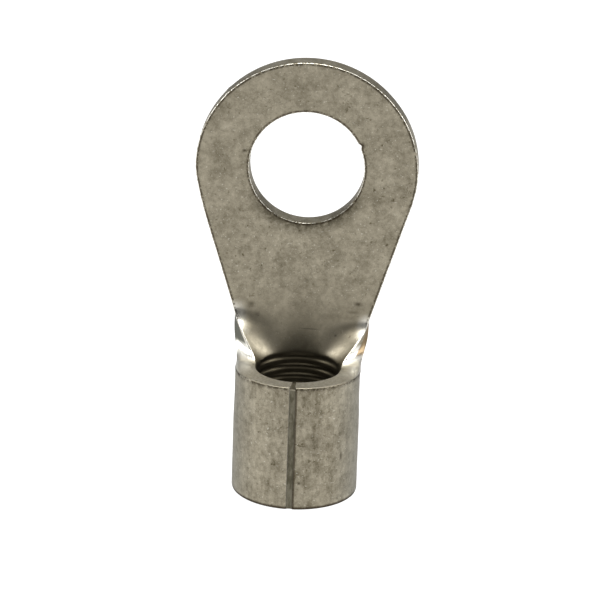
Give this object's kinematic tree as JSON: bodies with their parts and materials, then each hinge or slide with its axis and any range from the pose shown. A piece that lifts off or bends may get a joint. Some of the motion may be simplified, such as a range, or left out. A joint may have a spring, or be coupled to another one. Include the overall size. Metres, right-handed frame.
{
  "type": "ring terminal",
  "caption": "Uninsulated crimp ring terminal of tinned copper sheet: a flat ring tongue for a stud opens out of a rolled wire barrel with a brazed seam.",
  "frame": {"origin": "centre of the barrel's wire end, on the surface that the terminal stands on", "axes": "+Z along the barrel's axis from the wire end to the ring, +Y towards the back of the tongue, -Y towards the seam"},
  "size_m": [0.0122, 0.007, 0.0238],
  "materials": {
    "tinned_copper": "matt tin plating on copper"
  },
  "bodies": {
    "root": {"ring_terminal": "tinned_copper"}
  },
  "joints": []
}
